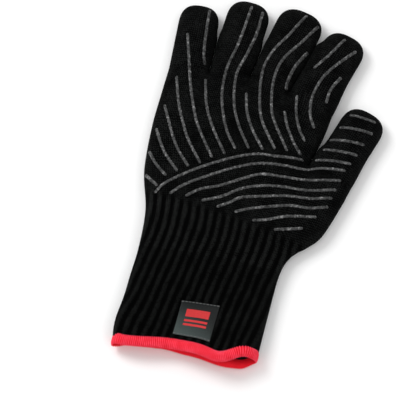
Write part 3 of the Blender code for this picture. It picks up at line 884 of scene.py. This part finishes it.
def sew(name, edge, outward, toward, fullness, closed, tree, material, step, thickness):
    """Run a stitch tree along an edge given in metres, and keep the result as a plain mesh."""
    mesh = bpy.data.meshes.new(name)
    links = [(i, i + 1) for i in range(len(edge) - 1)] + ([(len(edge) - 1, 0)] if closed else [])
    mesh.from_pydata(edge.tolist(), links, [])
    scale = np.ones((len(edge), 3))
    scale[:, 0] = fullness
    for label, values in (("outward", outward), ("toward", toward), ("fullness", scale)):
        layer = mesh.attributes.new(label, "FLOAT_VECTOR", "POINT")
        layer.data.foreach_set("vector", np.ascontiguousarray(values, np.float32).ravel())
    made = piece(name, mesh, material)
    threads = made.modifiers.new("Threads", "NODES")
    threads.node_group = tree
    for item in tree.interface.items_tree:
        if item.in_out == "INPUT" and item.name in ("Step", "Thickness"):
            threads[item.identifier] = step if item.name == "Step" else thickness
    bpy.context.view_layer.update()
    sewn = bpy.data.meshes.new_from_object(made.evaluated_get(bpy.context.evaluated_depsgraph_get()))
    made.modifiers.clear()
    made.data = sewn
    sewn.shade_smooth()
    return made


# Outward from the edge, up the cuff and along the edge, in millimetres.
OVER_EDGE = [(-0.3, 6.4, 0.0), (3.1, 6.3, 0.1), (3.1, -1.5, 0.5), (-0.8, -1.1, 0.6)]
OVERLOCK = stitch_tree("overlock", RED_THREAD, OVER_EDGE)
hem_threads = sew(
    "hem_threads", to_row(loop), outward, toward, room, True, OVERLOCK, RED_THREAD, THREAD_STEP, THREAD_THICK
)
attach(hem_threads, "cuff")
print("hem threads", len(hem_threads.data.polygons), "faces")

# %% [markdown]
# ## The woven label
# A small satin label is sewn to the cuff above the hem. It is a grid laid on the ribs, a little crowned,
# with two ends that stand higher, as folded ends do. Its design is a plain woven bar and two lines in
# red. Stitches hold the folded ends: the same tree as for the hem places them, with a shorter thread.

# %% Label
LABEL_SIZE, LABEL_MIDDLE, LABEL_LEAN, LABEL_TURN = (27.2, 25.8), (3.5, 23.8), 4.0, -4.5
LABEL_CELLS, LABEL_CLEAR, LABEL_CROWN, LABEL_WAVE = 48, 0.25, 0.5, (0.25, 5.0, 3.0)
FOLD_RISE, FOLD_FROM, FOLD_EASE = 0.35, 0.455, 0.015
STITCH_AT, STITCH_END, STITCH_POINTS, STITCH_LIFT = 0.475, 0.47, 40, 0.05
# In metres: cloth, weave, half width of the design, middle and half height of each bar, then the stitches.
LABEL_THICK, WEFT, WARP, DESIGN_HALF = 0.0005, 0.00042, 0.0005, 0.0085
BARS = ((0.0045, 0.0028), (-0.0012, 0.0008), (-0.0042, 0.0008))
STITCH_STEP, STITCH_THICK = 0.0024, 0.0002
# Shares of weave and specks in the tone, and a painted satin sheen: the ground lighter toward the lower
# left, darker toward the upper right.
WEAVE_SHARE, SPECK_SHARE, PLAIN_TONE, PAINTED_SHEEN_UP, PAINTED_SHEEN_SHARE = 0.18, 0.4, 0.3, 2.0, -13.0
# Places of the colours among the inputs and the outputs of a mix node.
MIX_A, MIX_B, MIX_COLOUR = 6, 7, 2


def label_material():
    """Satin weave on the label's own UV map, with a painted sheen on the ground and bars woven in red."""
    material, tree, shader = base_material("charcoal_satin", specular=0.25, sheen=0.1)
    place = tree.nodes.new("ShaderNodeTexCoord")
    spot = tree.nodes.new("ShaderNodeSeparateXYZ")
    tree.links.new(place.outputs["UV"], spot.inputs[0])
    weft = math_node(tree, "SINE", math_node(tree, "MULTIPLY", spot.outputs["Y"], 2 * math.pi / WEFT))
    warp = math_node(tree, "SINE", math_node(tree, "MULTIPLY", spot.outputs["X"], 2 * math.pi / WARP))
    weave = math_node(tree, "MULTIPLY", weft, warp)
    mottle = use_group(tree, MOTTLE, Place=place.outputs["Object"], Coarse=70.0, Fine=2600.0)
    plain = math_node(tree, "MULTIPLY_ADD", mottle["Speck"], SPECK_SHARE, PLAIN_TONE)
    tone = math_node(tree, "MULTIPLY_ADD", weave, WEAVE_SHARE, plain)
    # Painted sheen: the satin ground is lit toward the lower left and falls dark toward the upper right of
    # the label.
    painted_sheen = math_node(tree, "MULTIPLY_ADD", spot.outputs["Y"], PAINTED_SHEEN_UP, spot.outputs["X"])
    painted_sheen = math_node(tree, "MULTIPLY_ADD", painted_sheen, PAINTED_SHEEN_SHARE, tone)
    ground = ramp(tree, painted_sheen, [(0.38, (0.002, 0.004, 0.004)), (1.0, (0.075, 0.105, 0.1))])
    red = ramp(tree, tone, [(0.2, (0.6, 0.014, 0.02)), (0.8, (0.86, 0.06, 0.06))])
    across = math_node(tree, "LESS_THAN", math_node(tree, "ABSOLUTE", spot.outputs["X"]), DESIGN_HALF)
    woven = None
    for middle, half in BARS:
        apart = math_node(tree, "ABSOLUTE", math_node(tree, "SUBTRACT", spot.outputs["Y"], middle))
        bar = math_node(tree, "MULTIPLY", math_node(tree, "LESS_THAN", apart, half), across)
        woven = bar if woven is None else math_node(tree, "ADD", woven, bar)
    mix = tree.nodes.new("ShaderNodeMix")
    mix.data_type = "RGBA"
    tree.links.new(woven, mix.inputs["Factor"])
    tree.links.new(ground, mix.inputs[MIX_A])
    tree.links.new(red, mix.inputs[MIX_B])
    tree.links.new(mix.outputs[MIX_COLOUR], shader.inputs["Base Color"])
    roughen(tree, shader, mottle["Speck"], spread=0.3, least=0.35)
    bump(tree, shader, weave, 0.00012)
    return material


CHARCOAL_SATIN = label_material()
lean, turn = math.radians(LABEL_LEAN), math.radians(LABEL_TURN)
label_right = np.array([math.cos(turn), -math.sin(turn)])
label_up = np.array([math.sin(lean), math.cos(lean)])


def on_label(a, b, lift):
    """Place on the label from shares of its width and height, as points in metres."""
    a, b = np.broadcast_arrays(np.asarray(a, float), np.asarray(b, float))
    plan = LABEL_MIDDLE + label_right * (a * LABEL_SIZE[0])[..., None]
    plan = plan + label_up * (b * LABEL_SIZE[1])[..., None]
    wave, wide, high = LABEL_WAVE
    crown = LABEL_CROWN * (1.0 - (2 * a) ** 2) * (1.0 - (2 * b) ** 2) + wave * np.sin(wide * a + high * b)
    folded = FOLD_RISE * smooth((np.abs(b) - FOLD_FROM) / FOLD_EASE)
    z = heights(plan)[0] + RIB_HEIGHT / 2 + LABEL_CLEAR + crown + folded + lift
    return to_row(slack(plan, z, True))


steps = np.linspace(-0.5, 0.5, LABEL_CELLS + 1)
b, a = np.meshgrid(steps, steps, indexing="ij")
points = on_label(a, b, 0.0).reshape(-1, 3)
quads = grid_quads(*a.shape)
mesh = bpy.data.meshes.new("cuff_label")
mesh.from_pydata(points.tolist(), [], quads.tolist())
uv = np.stack([a.ravel() * LABEL_SIZE[0], b.ravel() * LABEL_SIZE[1]], axis=1)[quads.ravel()] * MM
mesh.uv_layers.new(name="weave").data.foreach_set("uv", uv.ravel().astype(np.float32))
cuff_label = piece("cuff_label", mesh, CHARCOAL_SATIN)
thick = cuff_label.modifiers.new("Cloth", "SOLIDIFY")
thick.thickness, thick.offset = LABEL_THICK, -1.0
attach(cuff_label, "cuff")
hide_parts("label")

GREY_THREAD = thread_material("grey_thread", (0.1, 0.11, 0.11), (0.3, 0.31, 0.31))
OVER_FOLD = [(0.0, -0.75, 0.0), (0.45, -0.6, 0.0), (0.45, 0.6, 0.0), (0.0, 0.75, 0.0)]
LABEL_STITCH = stitch_tree("label_stitch", GREY_THREAD, OVER_FOLD)
for side, name in ((STITCH_AT, "label_stitches_top"), (-STITCH_AT, "label_stitches_foot")):
    run = on_label(np.linspace(-STITCH_END, STITCH_END, STITCH_POINTS), side, STITCH_LIFT)
    along = unit(np.gradient(run, axis=0))
    raised = np.tile([0.0, 0.0, 1.0], (STITCH_POINTS, 1))
    stitches = sew(
        name, run, raised, along, 1.0, False, LABEL_STITCH, GREY_THREAD, STITCH_STEP, STITCH_THICK
    )
    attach(stitches, "cuff")
print("label", LABEL_SIZE, "mm")

# %% [markdown]
# ## Floor, light and camera
# A pale floor under soft studio light. The camera looks down from the cuff's side, 20 degrees from
# straight above, and the glove leans in the picture, so the camera is turned about the upright by the
# same angle.

# %% Stage
LEAN, TILT = math.radians(11.5), math.radians(20.0)
LOOK_AT = Vector((-0.0370, -0.0192, 0.0065))
CAMERA_AWAY, PICTURE_WIDTH, CLIP_END = 3.0, 0.2904, 20.0
FLOOR_HALF, FLOOR_TONE, FLOOR_ROUGH = 4.0, 0.95, 0.9
DAYLIGHT = 0.75
# Place, size and power of each lamp.
LAMPS = (("key_lamp", (-1.0, 0.4, 1.2), 0.7, 13.0), ("fill_lamp", (0.9, -0.7, 1.2), 1.2, 3.5))

floor_mesh = bpy.data.meshes.new("floor")
corners = [(x * FLOOR_HALF, y * FLOOR_HALF, 0.0) for x, y in ((-1, -1), (1, -1), (1, 1), (-1, 1))]
floor_mesh.from_pydata(corners, [], [(0, 1, 2, 3)])
floor_paint = bpy.data.materials.new("floor_paint")
floor_paint.use_nodes = True
paint = floor_paint.node_tree.nodes["Principled BSDF"].inputs
paint["Base Color"].default_value = (FLOOR_TONE, FLOOR_TONE, FLOOR_TONE, 1.0)
paint["Roughness"].default_value = FLOOR_ROUGH
floor = piece("floor", floor_mesh, floor_paint)

camera = bpy.data.objects.new("camera", bpy.data.cameras.new("camera"))
bpy.context.scene.collection.objects.link(camera)
right = Vector((math.cos(LEAN), math.sin(LEAN), 0.0))
ahead = Vector((-math.sin(LEAN), math.cos(LEAN), 0.0))
back = (-ahead * math.sin(TILT) + Vector((0, 0, 1)) * math.cos(TILT)).normalized()
upward = back.cross(right)
turned = Matrix((right, upward, back)).transposed().to_4x4()
camera.matrix_world = Matrix.Translation(LOOK_AT + back * CAMERA_AWAY) @ turned
camera.data.lens = camera.data.sensor_width * CAMERA_AWAY / PICTURE_WIDTH
camera.data.clip_end = CLIP_END
bpy.context.scene.camera = camera

world = bpy.data.worlds.new("studio")
bpy.context.scene.world = world
world.use_nodes = True
sky = world.node_tree.nodes["Background"].inputs
sky["Color"].default_value = (1.0, 1.0, 1.0, 1.0)
sky["Strength"].default_value = DAYLIGHT
for label, spot, size, power in LAMPS:
    lamp = bpy.data.objects.new(label, bpy.data.lights.new(label, "AREA"))
    lamp.data.size, lamp.data.energy = size, power
    lamp.location = spot
    lamp.rotation_euler = (-Vector(spot)).to_track_quat("-Z", "Y").to_euler()
    bpy.context.scene.collection.objects.link(lamp)
bpy.context.scene.view_settings.view_transform = "Standard"
print("camera", [round(v, 3) for v in camera.location], "lens", round(camera.data.lens, 1))
